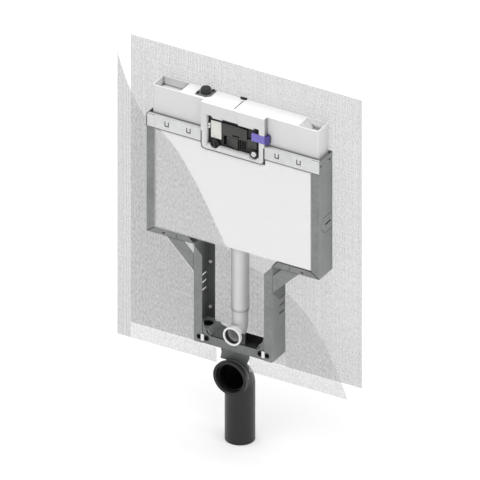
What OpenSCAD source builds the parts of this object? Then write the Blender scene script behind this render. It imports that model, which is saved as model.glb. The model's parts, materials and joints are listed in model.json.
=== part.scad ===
// Concealed cistern block for a wall-hung WC, with its steel frame and plaster nets.
// X is to the right, Y to the wall behind, Z up. The origin is the middle of the WC studs' line,
// on the front of the frame. Millimetres.

/* [Steel frame] */
// Width over the two uprights
frame_w = 583; // [575:1:600]
// Depth of the frame from front to rear
frame_depth = 78; // [77:1:84]
// Thickness of the folded sheet
sheet = 2; // [1.5:0.1:2.4]
// Height of the uprights' top over the WC studs
frame_top = 704; // [700:1:708]
// Height of the wing rails' underside over the WC studs
wing_z = 307; // [300:1:310]
// Height of a wing rail's lips
wing_lip = 19; // [15:1:22]
// Width of an upright's lips
post_lip = 27; // [20:1:30]
// Width over the two legs
leg_span = 265; // [262:1:276]
// Width of a leg's lips
leg_lip = 28; // [24:1:30]
// Reach of the legs below the WC studs
leg_drop = 19; // [17:1:24]
// Radius of the fixing holes near the top of an upright
frame_hole_r = 4.2; // [3:0.1:5]
// Height of the knock-out's middle in an upright
knock_out_z = 477; // [440:1:520]
// Height of the lowest slot in a leg
leg_slot_z = 127; // [110:1:135]
// Distance between the slots in a leg
leg_slot_pitch = 25.5; // [20:0.5:26]
// Height of the upper wall bolts
wall_bolt_top_z = 215; // [205:1:260]
// Height of the lower wall bolts
wall_bolt_low_z = 63; // [55:1:75]

/* [Braces and front rails] */
// Reach of a brace along the wing rail, from the leg
brace_reach = 90; // [80:1:110]
// Width of a brace along the wing rail
brace_w = 57; // [50:1:65]
// Height of a front rail
rail_h = 42; // [36:1:46]
// Width of a hook tab punched in a front rail
hook_w = 13; // [10:1:16]

/* [WC beam] */
// Distance between the inner pair of WC studs
stud_pitch = 180; // [176:1:184]
// Distance between the outer pair of WC studs
stud_pitch_wide = 230; // [226:1:232]
// Radius of a WC stud's hole
stud_r = 6; // [5:0.1:6.2]
// Height of the beam's front lip over the studs' line
beam_lip_z = 10; // [9.5:0.5:14]
// Thickness of the beam's sheet
beam_sheet = 2.5; // [2:0.1:3]
// Height of the foot plates over the studs' line
foot_z = 27; // [20:1:34]

/* [Waste] */
// Depth of the waste bend's middle below the studs' line
waste_drop = 100; // [98:1:104]
// Outer radius of the waste pipe
waste_r = 45; // [43:0.5:45]
// Wall of the waste pipe
waste_wall = 4; // [3:0.5:5]
// Distance of the waste pipe's axis behind the frame's front
waste_y = 41.5; // [40:0.5:43]
// Reach of the socket in front of the frame
socket_reach = 19; // [17:0.5:24]
// Reach of the waste pipe's end below the studs' line
waste_end = 330; // [300:5:400]

/* [Flush pipe] */
// Distance of the flush pipe's axis behind the frame's front
pipe_y = 43; // [42:0.5:44]
// Height of the flush outlet over the studs' line
flush_z = 35; // [34:0.5:37]
// Outer radius of the flush pipe
pipe_r = 25; // [24:0.5:25.5]
// Wall of the flush pipe
pipe_wall = 2.5; // [2:0.5:3]
// Wall of the insulating sleeve
sleeve_wall = 2.5; // [2:0.5:3]
// Height of the sleeve's lower end
sleeve_z = 109; // [100:1:140]

/* [Tank] */
// Gap between the tank and each upright's web
tank_side_gap = 10.1; // [8:0.1:12]
// Height of the tank's top over the studs' line
tank_top = 797; // [795:1:810]
// Distance of the tank's front behind the frame's front
tank_front = 14; // [13:0.5:15]
// Wall of the tank
tank_wall = 3; // [2.5:0.1:3.5]
// Radius of the tank's upright edges
tank_edge_r = 6; // [4:0.5:7]
// Depth of the pockets in the tank's top
pocket_depth = 28; // [20:1:30]

/* [Inspection box] */
// Width of the inspection box
box_w = 214; // [210:1:222]
// Height of the box's lower edge
box_z = 641; // [638:1:642]
// Reach of the box in front of the frame
box_reach = 3; // [2.5:0.1:5]
// Width of the window
window_w = 176; // [174:1:178]
// Height of the window's lower edge
window_z = 659; // [658.6:0.1:659.4]
// Height of the window's upper edge
window_top = 751; // [750:0.5:756]

/* [Mechanism] */
// Length of a flush lever's rear arm
lever_arm = 26.5; // [25.5:0.1:26.5]
// Outer radius of the overflow tube
overflow_r = 15; // [13:0.5:15.5]
// Radius of the valve basket
basket_r = 24.5; // [24:0.1:25]
// Travel of the float
float_travel = 20; // [15:1:20]
// Width of the lock slide
slide_h = 26; // [24:1:30]

/* [Insulation and nets] */
// Distance of the insulation's face behind the frame's front
panel_front = 1; // [1:0.1:2]
// Width of the plaster nets
net_w = 780; // [740:5:820]
// Height of the nets' lower edge below the studs' line
net_drop = 69; // [66:1:72]
// Height of the nets' upper edge over the studs' line
net_top = 902; // [880:1:940]
// Distance between the strands of a net
net_pitch = 65; // [60:1:75]
// Width of a strand
strand = 3; // [2:0.5:4]
// Set-back of the front net from the steel, where the steel's side would be behind it
net_set_back = 45; // [30:1:50]

/* [Hidden] */
$fn = 64;

// Clearance between pieces that seat on each other
fit = 0.3;
// Radial clearance of a shaft in its hole
shaft_fit = 0.06;
// Clearance of pieces that pass each other
pass = 1;

frame_x = frame_w / 2;
leg_x = leg_span / 2;
wing_top = wing_z + wing_lip;
lip_x = leg_x - leg_lip;
beam_x = leg_x - sheet;
beam_y0 = sheet;
beam_y1 = frame_depth - sheet;
wall_bolt_x = leg_x - leg_lip / 2;
wall_bolt_r = 3;
wall_bolt_head_r = 5;
wall_bolt_head = 3.5;
stud_x = [stud_pitch / 2, stud_pitch_wide / 2];
nose_r = stud_r + 1.2;
stud_slot_w = 2 * (nose_r + fit);
stud_slot_h = stud_slot_w + 3;

tank_x = frame_x - sheet - tank_side_gap;
tank_back = frame_depth - sheet - fit;
tank_z = wing_top + fit;
cavity_x = tank_x - tank_wall;
cavity_front = tank_front + tank_wall;
cavity_back = tank_back - tank_wall;
floor_z = tank_z + tank_wall;
outlet_z = tank_z - 14;
spigot_r = 20;
spigot_end = outlet_z - 12;

box_x = box_w / 2;
box_front = -box_reach;
box_edge_r = 15;
box_shell = 2.5;
ledge = [3.5, 1.4];
window_x = window_w / 2;

carrier_y0 = 10;
carrier_y1 = 13;
cover_y0 = 5;
cover_y1 = carrier_y0 - fit;
lever_y = carrier_y1 + 6.5;
lever_z = window_z + 45;
pad_top = lever_z - 5;
pad_r = 35;
pad_gap = 2.4;
pad_dip = 0.6;
part_pad_dip = 4.2;
pad_x = 13;
part_pad = [46, 77];
part_pad_z = [lever_z - 22, lever_z + 6];
pin_r = 2;
boss_r = 5;
hook_z = lever_z + 2 + fit;
hook_h = 3.7;
guard_knob_x = -64;
lock_screw_x = 68;
knob_z = window_z + 6;
knob_r = 14;
slide_z = window_top - 25;
slide_x = [64, box_x + 1];
slide_y = [box_front + 0.4, box_front + 4.6];

inlet = [-118, 47];
stop_drop = 27;
stop_h = 25;
head_h = 30;
float_drop = 60;
float_h = 55;
stop_z = [tank_top - stop_drop - stop_h, tank_top - stop_drop];
head_z = [stop_z[0] - head_h, stop_z[0] - fit];
lever_pivot = [inlet[0] + 14, head_z[0] + 13];
float_z = [head_z[0] - float_drop - float_h, head_z[0] - float_drop];
float_rod = [inlet[0] - 22, inlet[1] - 21.8];

net_x = net_w / 2;
net_thick = 1.2;
net_front_y = panel_front - fit - net_thick;
net_clear = 0.4;
pipe_strip = [-7, 57];

module along_y(y0, y1) {
  translate([0, y1, 0]) rotate([90, 0, 0]) linear_extrude(y1 - y0) children();
}

module along_x(x0, x1) {
  translate([x0, 0, 0]) rotate([90, 0, 90]) linear_extrude(x1 - x0) children();
}

module box(a, b) {
  translate(a) cube(b - a);
}

module rod_x(y, z, r, x0, x1) {
  translate([x0, y, z]) rotate([0, 90, 0]) cylinder(r = r, h = x1 - x0);
}

module rod_y(x, z, r, y0, y1) {
  translate([x, y1, z]) rotate([90, 0, 0]) cylinder(r = r, h = y1 - y0);
}

module rod_z(x, y, r, z0, z1) {
  translate([x, y, z0]) cylinder(r = r, h = z1 - z0);
}

module tube_z(x, y, r_in, r_out, z0, z1) {
  difference() {
    rod_z(x, y, r_out, z0, z1);
    rod_z(x, y, r_in, z0 - 1, z1 + 1);
  }
}

module tube_ends(x, y, r_in, r_out, z0, z1) {
  translate([x, y, z0]) linear_extrude(z1 - z0) difference() {
    circle(r_out);
    circle(r_in);
  }
}

module tube_y(x, z, r_in, r_out, y0, y1) {
  difference() {
    rod_y(x, z, r_out, y0, y1);
    rod_y(x, z, r_in, y0 - 1, y1 + 1);
  }
}

module rounded(x0, x1, z0, z1, r) {
  translate([x0 + r, z0]) square([x1 - x0 - 2 * r, z1 - z0]);
  translate([x0, z0 + r]) square([x1 - x0, z1 - z0 - 2 * r]);
  for (x = [x0 + r, x1 - r], z = [z0 + r, z1 - r]) translate([x, z]) circle(r);
}

module slot_up(w, h) {
  square([w, h - w], center = true);
  for (side = [-1, 1]) translate([0, side * (h - w) / 2]) circle(w / 2);
}

module on_side(side) {
  if (side < 0) mirror([1, 0, 0]) children();
  else children();
}

// Folded side channel: upright, wing rail and leg in one strip

corner_out = 18;
corner_down = 33;

module channel_lip() {
  corner = [frame_x - post_lip, wing_top];
  fold = [frame_x - sheet, wing_z + sheet];
  mitre = fold - corner;
  difference() {
    polygon([
      [lip_x, -leg_drop], [leg_x, -leg_drop], [leg_x, wing_z], [frame_x, wing_z], [frame_x, frame_top],
      [corner[0], frame_top], corner, [leg_x + corner_out, wing_top], [lip_x, wing_z - corner_down]]);
    translate(corner) rotate(atan2(mitre[1], mitre[0])) translate([-1, -0.4]) square([norm(mitre) - 2, 0.8]);
    translate([leg_x + 58, wing_z + 3]) square([1.4, 12]);
    translate([leg_x + 101, wing_z + 8]) rotate(-20) square([10, 4], center = true);
  }
}

module channel_web() {
  polygon([
    [leg_x, -leg_drop], [leg_x, wing_z], [frame_x, wing_z], [frame_x, frame_top],
    [frame_x - sheet, frame_top], [frame_x - sheet, wing_z + sheet], [beam_x, wing_z + sheet],
    [beam_x, -leg_drop]]);
}

// Knock-out in the upright's web, hinged at its rear edge
module knock_out(inset) {
  rear = frame_depth - 4 + inset;
  low = knock_out_z - 28 + inset;
  high = knock_out_z + 27 - inset;
  polygon([
    [rear, high], [26 + inset / 2, high], [12 + inset, high - 17 + inset / 2],
    [12 + inset, low + 23 - inset / 2], [32 + inset / 2, low], [rear, low]]);
}

module channel(side) {
  color("#84878a") on_side(side) difference() {
    union() {
      for (y = [0, frame_depth - sheet]) along_y(y, y + sheet) union() {
        channel_lip();
        channel_web();
      }
      along_y(sheet, frame_depth - sheet) channel_web();
    }
    for (y = [11, 61]) rod_x(y, frame_top - 19, frame_hole_r, frame_x - sheet - 1, frame_x + 1);
    along_x(frame_x - sheet - 1, frame_x + 1) difference() {
      knock_out(0);
      knock_out(1.2);
    }
    along_x(frame_x - sheet - 1, frame_x + 1) translate([51, knock_out_z]) rotate(90) slot_up(5, 35);
    for (i = [0:2]) along_x(beam_x - 1, leg_x + 1)
      translate([57, leg_slot_z + i * leg_slot_pitch]) rotate(90) slot_up(6, 30);
    along_y(-1, sheet + 1) translate([stud_x[1], 0]) slot_up(stud_slot_w, stud_slot_h);
    for (z = [wall_bolt_low_z, wall_bolt_top_z])
      rod_y(wall_bolt_x, z, wall_bolt_r + shaft_fit, frame_depth - sheet - 1, frame_depth + 1);
  }
}

// Diagonal brace with a tab under the rail and a tab on the leg

module brace(side) {
  low = wing_z - brace_reach;
  high = wing_z - brace_reach + brace_w;
  tab_z = low - 36;
  seam = 1.2;
  color("#7f8386") on_side(side) union() {
    along_y(0, sheet) polygon([
      [leg_x + seam, low + seam], [leg_x + brace_reach - seam, wing_z - seam],
      [leg_x + brace_reach - brace_w - seam, wing_z - seam], [leg_x + seam, high + seam]]);
    box([leg_x + brace_reach - brace_w, seam, wing_z - sheet], [leg_x + brace_reach - seam, 70, wing_z]);
    along_x(leg_x, leg_x + sheet) polygon([
      [seam, low], [36, tab_z], [frame_depth - 3, tab_z], [frame_depth - 3, high - 12], [60, high],
      [seam, high]]);
  }
}

// Front rail with a top flange and two punched hooks

module hook_slit() {
  difference() {
    rounded(-hook_w / 2, hook_w / 2, -8, 10, 3);
    rounded(-hook_w / 2 + 1.4, hook_w / 2 - 1.4, -6.6, 12, 2);
    translate([-hook_w, 7]) square([2 * hook_w, 4]);
  }
}

module front_rail(side) {
  low = frame_top - rail_h;
  inner = box_x + fit;
  color("#c9cbcc") on_side(side) difference() {
    union() {
      box([inner, -sheet, low], [frame_x, 0, frame_top]);
      box([inner, -sheet, frame_top - sheet], [frame_x - post_lip - pass, tank_front - fit, frame_top]);
      box([inner, sheet + fit, frame_top - sheet], [frame_x - sheet - fit, tank_front - fit, frame_top]);
    }
    for (x = [box_x + 42, box_x + 115.5])
      along_y(-sheet - 1, 1) translate([x, frame_top - 18]) hook_slit();
  }
}

// Beam between the legs that carries the WC

module beam_front() {
  difference() {
    polygon([
      [-beam_x, -leg_drop], [beam_x, -leg_drop], [beam_x, beam_lip_z + 52], [lip_x - 1, beam_lip_z + 52],
      [lip_x - 7, beam_lip_z + 28], [lip_x - 18, beam_lip_z + 5], [lip_x - 27, beam_lip_z],
      [-lip_x + 27, beam_lip_z], [-lip_x + 18, beam_lip_z + 5], [-lip_x + 7, beam_lip_z + 28],
      [-lip_x + 1, beam_lip_z + 52], [-beam_x, beam_lip_z + 52]]);
    for (side = [-1, 1], x = stud_x) translate([side * x, 0]) slot_up(stud_slot_w, stud_slot_h);
    translate([0, flush_z]) circle(collar_neck_r + fit);
  }
}

module wc_beam() {
  color("#74777a") union() {
    along_y(beam_y0, beam_y0 + beam_sheet) beam_front();
    box([-beam_x, beam_y0, -leg_drop], [beam_x, beam_y1, -leg_drop + beam_sheet]);
    box([-beam_x, beam_y1 - beam_sheet, -leg_drop], [beam_x, beam_y1, beam_lip_z - 1]);
  }
}

// Foot plate with a flange that slopes down beside the beam's front lip
module foot_plate(side) {
  edge = lip_x - 17;
  toe = lip_x - 27;
  color("#6e7174") on_side(side) difference() {
    along_y(beam_y0 + beam_sheet, beam_y1 - beam_sheet) polygon([
      [beam_x, foot_z], [beam_x, foot_z + sheet], [edge, foot_z + sheet], [toe, beam_lip_z],
      [toe + sheet, beam_lip_z], [edge + sheet * 0.7, foot_z]]);
    rod_z(lip_x + 3, frame_depth / 2, 17.5, foot_z - 1, foot_z + sheet + 1);
  }
}

module wall_bolts() {
  color("#e4e4e2") for (side = [-1, 1], z = [wall_bolt_low_z, wall_bolt_top_z]) {
    rod_y(side * wall_bolt_x, z, wall_bolt_head_r, beam_y1 - wall_bolt_head, beam_y1);
    rod_y(side * wall_bolt_x, z, wall_bolt_r, beam_y1 - 1, frame_depth);
  }
}

// Nuts behind the beam, each with a nose that fills its slot up to the frame's front
module stud_nuts() {
  y0 = beam_y0 + beam_sheet;
  color("#181818") for (side = [-1, 1], x = stud_x) difference() {
    union() {
      along_y(y0, y0 + 18) translate([side * x, 0]) rounded(-stud_r - 2, stud_r + 2, -12, 12, 3);
      along_y(0, y0 + 1) translate([side * x, 0]) slot_up(2 * nose_r, stud_slot_h - 2 * fit);
    }
    rod_y(side * x, 0, stud_r, -1, y0 + 19);
  }
}

module stud_clips() {
  middle = (stud_x[0] + stud_x[1]) / 2;
  half = stud_x[1] - middle - nose_r - fit;
  color("#eeeeec") for (side = [-1, 1]) on_side(side) union() {
    along_y(-sheet, 0) rounded(middle - half, middle + half, -10, 12, 2);
    box([middle - half, -0.5, -8], [lip_x - fit, beam_y0, 10]);
  }
}

// Waste bend with its socket, seal, saddle and bracket

waste_bend_r = waste_r + 1;
waste_arc = [waste_y - waste_bend_r, -waste_drop - waste_bend_r];
socket_r = waste_r + 1.5;
socket_wall = 4.5;
socket_flange = 5;
seal_depth = 2;
seal_y = [-socket_reach + 4, -socket_reach + 9];

module quarter_tube(bend_r, r_in, r_out) {
  rotate([90, 0, 90]) rotate_extrude(angle = 90) translate([bend_r, 0]) difference() {
    circle(r_out);
    circle(r_in);
  }
}

module waste_bend() {
  bore = waste_r - waste_wall;
  rim = socket_r + socket_wall;
  shoulder = waste_arc[0] - 2;
  color("#2e3032") union() {
    difference() {
      union() {
        rod_y(0, -waste_drop, rim, -socket_reach, waste_arc[0]);
        rod_y(0, -waste_drop, rim + socket_flange, -socket_reach, -socket_reach + 8);
      }
      rod_y(0, -waste_drop, socket_r, -socket_reach - 1, shoulder);
      rod_y(0, -waste_drop, bore, shoulder - 1, waste_arc[0] + 1);
      rod_y(0, -waste_drop, socket_r + seal_depth, seal_y[0], seal_y[1]);
    }
    translate([0, waste_arc[0], waste_arc[1]]) quarter_tube(waste_bend_r, bore, waste_r);
    tube_ends(0, waste_y, bore, waste_r, -waste_end, waste_arc[1]);
  }
}

module waste_seal() {
  color("#151515") tube_y(0, -waste_drop, socket_r, socket_r + seal_depth, seal_y[0], seal_y[1]);
}

saddle_r = waste_r + 0.4;
bracket_y = 9.3;

module waste_saddle() {
  color("#4a4d50") intersection() {
    tube_y(0, -waste_drop, saddle_r, saddle_r + 4.6, waste_arc[0] + 3.5, bracket_y);
    box([-80, -40, -waste_drop], [80, 40, 0]);
  }
}

module waste_bracket() {
  color("#505356") union() {
    along_y(bracket_y, bracket_y + beam_sheet) difference() {
      polygon([
        [-47, -leg_drop], [50, -leg_drop], [50, -leg_drop - 15], [40, -waste_drop + 42],
        [-48, -waste_drop + 42], [-44, -leg_drop - 18]]);
      translate([0, -waste_drop]) circle(saddle_r + 1);
    }
    box([-47, bracket_y, -leg_drop - beam_sheet], [50, 60, -leg_drop]);
  }
}

// Flush bend from the tank's outlet to the WC

flush_bend_r = 30;
flush_arc = [pipe_y - flush_bend_r, flush_z + flush_bend_r];
collar_neck_r = pipe_r + 3.5;
collar_r = pipe_r + 5;
collar_y = [-6.5, -3];
lead_in_r = pipe_r - 0.7;
pipe_mouth = 4;

module flush_pipe() {
  color("#dddddb") tube_ends(0, pipe_y, pipe_r - pipe_wall, pipe_r, flush_arc[1], outlet_z - fit);
}

module flush_bend() {
  bore = pipe_r - pipe_wall;
  color("#dddddb") union() {
    translate([0, flush_arc[0], flush_arc[1]]) rotate([-90, 0, 0]) quarter_tube(flush_bend_r, bore, pipe_r);
    along_y(pipe_mouth, flush_arc[0]) translate([0, flush_z]) difference() {
      circle(pipe_r);
      circle(bore);
    }
  }
}

module flush_sleeve() {
  color("#e6e6e4") union() {
    tube_z(0, pipe_y, pipe_r + 0.05, pipe_r + sleeve_wall, sleeve_z, outlet_z - fit);
    tube_z(0, pipe_y, pipe_r + 0.05, pipe_r + sleeve_wall + 1, sleeve_z, sleeve_z + 4);
  }
}

module flush_collar() {
  color("#f4f4f2") union() {
    tube_y(0, flush_z, pipe_r + 0.05, collar_neck_r, collar_y[1], flush_arc[0]);
    tube_y(0, flush_z, pipe_r + 0.05, collar_r, collar_y[0], beam_y0 - fit);
    tube_y(0, flush_z, lead_in_r, collar_r, collar_y[0], collar_y[1]);
  }
}

// Seal ring between the collar's rim and the pipe's mouth, flush with the bore
module flush_seal() {
  color("#202020") tube_y(0, flush_z, pipe_r - pipe_wall, pipe_r, collar_y[1], pipe_mouth);
}

module elbow_bracket() {
  low = -leg_drop + beam_sheet;
  color("#5c5f62") along_y(5, 8) difference() {
    polygon([[-76, low], [38, low], [38, flush_z + 10], [-40, flush_z + 22], [-76, 8]]);
    translate([0, flush_z]) circle(collar_neck_r + fit);
  }
}

module outlet_nut() {
  color("#d8d8d6") difference() {
    rod_z(0, pipe_y, 29, outlet_z, tank_z - fit);
    rod_z(0, pipe_y, spigot_r + fit, outlet_z - 1, tank_z + 1);
    for (i = [0:11]) rotate_about(pipe_y, i * 30) rod_z(30.5, pipe_y, 2.5, outlet_z - 1, tank_z + 1);
  }
}

module rotate_about(y, angle) {
  translate([0, y, 0]) rotate([0, 0, angle]) translate([0, -y, 0]) children();
}

module pipe_seal() {
  color("#202020") tube_z(0, pipe_y, spigot_r + 0.05, pipe_r - pipe_wall - 0.05, outlet_z - 10, outlet_z - 4);
}

// Tank with a hollow body, end pockets in its top and feet in the wing rails

pocket_left = [188, 209];
pocket_right = [210, 232];

module tank_plan(x, y0, y1, r) {
  translate([-x, y0 + r]) square([2 * x, y1 - y0 - r]);
  translate([-x + r, y0]) square([2 * x - 2 * r, y1 - y0]);
  for (side = [-1, 1]) translate([side * (x - r), y0 + r]) circle(r);
}

module pocket(edge, foot) {
  floor = tank_top - pocket_depth;
  intersection() {
    along_y(cavity_front, cavity_back) polygon([
      [edge, tank_top + 1], [edge, tank_top], [foot, floor], [tank_x, floor], [tank_x, tank_top + 1]]);
    translate([0, 0, floor]) linear_extrude(pocket_depth + 1)
      tank_plan(cavity_x, cavity_front, cavity_back, tank_edge_r - tank_wall);
  }
}

module tank_cavity() {
  ceiling = tank_top - tank_wall;
  low = tank_top - pocket_depth - tank_wall;
  polygon([
    [-cavity_x, floor_z], [cavity_x, floor_z], [cavity_x, low], [pocket_right[1] - 4, low],
    [pocket_right[0] - 4, ceiling], [-pocket_left[0] + 4, ceiling], [-pocket_left[1] + 4, low],
    [-cavity_x, low]]);
}

module tank_body() {
  color("#e9e9e7") difference() {
    union() {
      translate([0, 0, tank_z]) linear_extrude(tank_top - tank_z)
        tank_plan(tank_x, tank_front, tank_back, tank_edge_r);
      for (side = [-1, 1]) on_side(side)
        box([leg_x + 40, tank_front, wing_z + sheet], [tank_x - 1, tank_back, tank_z + 1]);
    }
    along_y(cavity_front, cavity_back) tank_cavity();
    pocket(pocket_right[0], pocket_right[1]);
    mirror([1, 0, 0]) pocket(pocket_left[0], pocket_left[1]);
    along_y(tank_front - 1, cavity_front + 1) square_window();
    rod_z(0, pipe_y, spigot_r + fit, tank_z - 1, floor_z + 1);
    rod_z(inlet[0], inlet[1], 10.7, tank_top - tank_wall - 1, tank_top + 1);
    box([-0.6, tank_front - 1, tank_top - 0.8], [0.6, tank_back + 1, tank_top + 1]);
  }
}

module square_window() {
  translate([-window_x, window_z - 3]) square([window_w, window_top - window_z + 3]);
}

module insulation_panel() {
  x = frame_x - post_lip - 0.5;
  z0 = tank_z;
  z1 = frame_top - rail_h;
  y1 = tank_front - fit;
  bevel = 4;
  color("#f5f5f3") difference() {
    intersection() {
      along_x(-x, x) polygon([
        [y1, z0], [y1, z1], [panel_front + bevel, z1], [panel_front, z1 - bevel],
        [panel_front, z0 + bevel], [panel_front + bevel, z0]]);
      translate([0, 0, z0 - 1]) linear_extrude(z1 - z0 + 2) polygon([
        [-x, y1], [-x, panel_front + bevel], [-x + bevel, panel_front], [x - bevel, panel_front],
        [x, panel_front + bevel], [x, y1]]);
    }
    box([-box_x - fit, panel_front - 1, box_z - fit], [box_x + fit, y1 + 1, z1 + 1]);
  }
}

module seam_clip() {
  color("#1c1c1c") union() {
    box([-16, tank_back - 6, tank_top], [6, tank_back, tank_top + 4]);
    box([-12, tank_back - 9, tank_top], [2, tank_back - 5, tank_top + 2.5]);
  }
}

// Inspection box: a hollow frame round the window

module box_outline(inset) {
  x = box_x - inset;
  r = box_edge_r - inset;
  z = box_z + inset;
  translate([-x, z + r]) square([2 * x, tank_top - inset - z - r]);
  translate([-x + r, z]) square([2 * x - 2 * r, r + 1]);
  for (side = [-1, 1]) translate([side * (x - r), z + r]) circle(r);
}

module window_outline(grow) {
  ear = 6;
  translate([-window_x - grow, window_z - grow]) square([window_w + 2 * grow, window_top - window_z + 2 * grow]);
  for (side = [-1, 1]) translate([side * (window_x - 9), window_top])
    rounded(-9 - grow, 9 + grow, -8, ear + grow, 4);
  rounded(-36 - grow, 18 + grow, window_top - 9, window_top + 4 + grow, 3);
  translate([guard_knob_x, knob_z]) circle(knob_r + 1.5 + grow);
  translate([lock_screw_x, knob_z]) circle(knob_r + 2.5 + grow);
}

module inspection_box() {
  color("#e4e4e2") difference() {
    along_y(box_front, tank_front) difference() {
      box_outline(0);
      window_outline(0);
    }
    difference() {
      along_y(0, tank_front + 1) difference() {
        box_outline(box_shell);
        window_outline(box_shell);
      }
      box([window_x, -1, slide_z - slide_h / 2 - 4], [box_x, tank_front + 2, slide_z + slide_h / 2 + 4]);
    }
    box([window_x - 1, box_front - 1, slide_z - slide_h / 2 - fit * 2],
      [box_x + 1, slide_y[1] + fit * 2, slide_z + slide_h / 2 + fit * 2]);
    along_y(box_front - 1, box_front + ledge[1]) window_outline(ledge[0]);
    box([-0.6, box_front - 1, tank_top - 0.8], [0.6, tank_front + 1, tank_top + 1]);
  }
}

// In the window: carrier, cover, card, knob and screw

module pad_outline() {
  intersection() {
    translate([pad_x, pad_top]) circle(pad_r);
    translate([pad_x - pad_r, pad_top - pad_r]) square(pad_r);
  }
}

// Hole that lets the pad turn inwards, lower than the pad where its edge dips
module pad_hole() {
  reach = pad_r + 6;
  intersection() {
    translate([pad_x, pad_top - pad_dip]) circle(pad_r + 2);
    translate([pad_x + pad_gap - reach, pad_top + pad_gap - reach]) square(reach);
  }
}

module carrier_plate() {
  edge = 0.4;
  ear_x = [pad_x - pad_r - 7, pad_x + 9, part_pad[1] + 2];
  color("#26282a") difference() {
    union() {
      along_y(carrier_y0, carrier_y1) difference() {
        translate([-window_x + edge, window_z + edge])
          square([window_w - 2 * edge, window_top - window_z - 2 * edge]);
        pad_hole();
        translate([pad_x - 17, pad_top - 8]) square([12, 10]);
        translate([part_pad[0] - 1.5, part_pad_z[0] - part_pad_dip])
          square([part_pad[1] - part_pad[0] + 3, part_pad_z[1] - part_pad_z[0] + part_pad_dip + 1.5]);
        for (x = [19, 26, 33]) translate([x, window_z + 8]) square([4, 30]);
        translate([-36, window_z + 8]) square([9, 34]);
      }
      along_y(cover_y0 + 0.7, carrier_y1) translate([lock_screw_x, knob_z]) circle(knob_r - 1);
      for (x = ear_x) along_x(x, x + 3) rounded(carrier_y1 - 1, lever_y + boss_r, lever_z - 5, lever_z + 5, 2);
    }
    rod_x(lever_y, lever_z, pin_r + 0.05, ear_x[0] - 1, ear_x[2] + 4);
    rod_y(guard_knob_x, knob_z, 4 + shaft_fit, carrier_y0 - 1, carrier_y1 + 1);
    rod_y(lock_screw_x, knob_z, 3 + shaft_fit, 0, carrier_y1 + 1);
  }
}

module bridge_cover() {
  color("#4b4e50") along_y(cover_y0, cover_y1) difference() {
    polygon([
      [-42, pad_top + 1], [44, pad_top + 1], [44, lever_z + 34], [20, lever_z + 36], [-42, lever_z + 36]]);
    translate([7, lever_z + 3]) rounded(-12, 12, -2, 2, 1.9);
    translate([-42, pad_top]) circle(7);
  }
}

module label_card() {
  color("#f1efea") along_y(carrier_y0 - fit - 1, carrier_y0 - fit) rounded(-79, -44, window_z + 21, window_top - 14, 2);
}

module card_clip() {
  color("#f3f3f1") difference() {
    along_y(cover_y0 - 1, carrier_y0) rounded(-window_x + 0.5, -window_x + 8, window_top - 40, window_top - 24, 3);
    box([-window_x, cover_y0 - 2, window_top - 33.5], [-window_x + 9, cover_y0 + 1, window_top - 30.5]);
  }
}

module guard_knob() {
  color("#161616") difference() {
    union() {
      rod_y(guard_knob_x, knob_z, knob_r, 2, 8.4);
      rod_y(guard_knob_x, knob_z, 4, 8, carrier_y1 + 3);
    }
    for (side = [-1, 1]) along_y(1, 5) translate([guard_knob_x + side * 8, knob_z]) rounded(-4.5, 4.5, -9, 9, 2);
  }
}

module lock_screw() {
  color("#f3f3f1") difference() {
    union() {
      rod_y(lock_screw_x, knob_z, 8, cover_y0 - 2.6, cover_y0 + 0.4);
      rod_y(lock_screw_x, knob_z, 3, cover_y0, carrier_y1 + 3);
    }
    rotate_screw(25) box([-9, cover_y0 - 4, -1.1], [9, cover_y0 - 1.2, 1.1]);
  }
}

module rotate_screw(angle) {
  translate([lock_screw_x, 0, knob_z]) rotate([0, angle, 0]) children();
}

// Flush levers on their pin

module lever_pin() {
  color("#b9bcbe") rod_x(lever_y, lever_z, pin_r, pad_x - pad_r - 8, part_pad[1] + 6);
}

module lever_full() {
  color("#3f4244") difference() {
    union() {
      along_y(cover_y0 + 0.5, cover_y0 + 4.5) pad_outline();
      box([pad_x - 15, cover_y0 + 4, pad_top - 5], [pad_x - 7, lever_y - 1, pad_top]);
      box([pad_x - 15, lever_y - 4, pad_top - 5], [pad_x - 7, lever_y + 1, lever_z - 1]);
      rod_x(lever_y, lever_z, boss_r, -10, 10);
      box([-3, lever_y, lever_z - 2], [3, lever_y + lever_arm, lever_z + 2]);
    }
    rod_x(lever_y, lever_z, pin_r + shaft_fit + 0.02, -11, 11);
    along_y(cover_y0, cover_y0 + 1.5) intersection() {
      translate([pad_x, pad_top]) difference() {
        circle(pad_r - 5);
        circle(pad_r - 7);
      }
      translate([pad_x - pad_r, pad_top - pad_r]) square(pad_r - 3);
    }
  }
}

module lever_part() {
  color("#565a5c") difference() {
    union() {
      along_y(cover_y0 + 0.5, cover_y0 + 4.5) rounded(part_pad[0], part_pad[1], part_pad_z[0], part_pad_z[1], 3);
      box([part_pad[0] + 8, cover_y0 + 4, lever_z - 8], [part_pad[0] + 18, lever_y - 1, lever_z - 1]);
      rod_x(lever_y, lever_z, boss_r, 31, part_pad[1] - 1);
      box([33, lever_y, lever_z - 2], [39, lever_y + lever_arm, lever_z + 2]);
    }
    rod_x(lever_y, lever_z, pin_r + shaft_fit + 0.02, 30, part_pad[1]);
    along_y(cover_y0, cover_y0 + 1.5) rounded(part_pad[0] + 6, part_pad[1] - 6, part_pad_z[0] + 5, part_pad_z[0] + 7.4, 1);
  }
}

// Lock slide through the box's right rim, with its grip outside

module lock_slide() {
  color("#7f73c8") along_y(slide_y[0], slide_y[1])
    rounded(slide_x[0], slide_x[1], slide_z - slide_h / 2, slide_z + slide_h / 2, 1.5);
}

module slide_grip() {
  color("#4a4088") along_y(slide_y[0], tank_front - pass)
    rounded(slide_x[1], slide_x[1] + 11, slide_z - slide_h / 2, slide_z + slide_h / 2, 1.5);
}

// Flush valve

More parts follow.
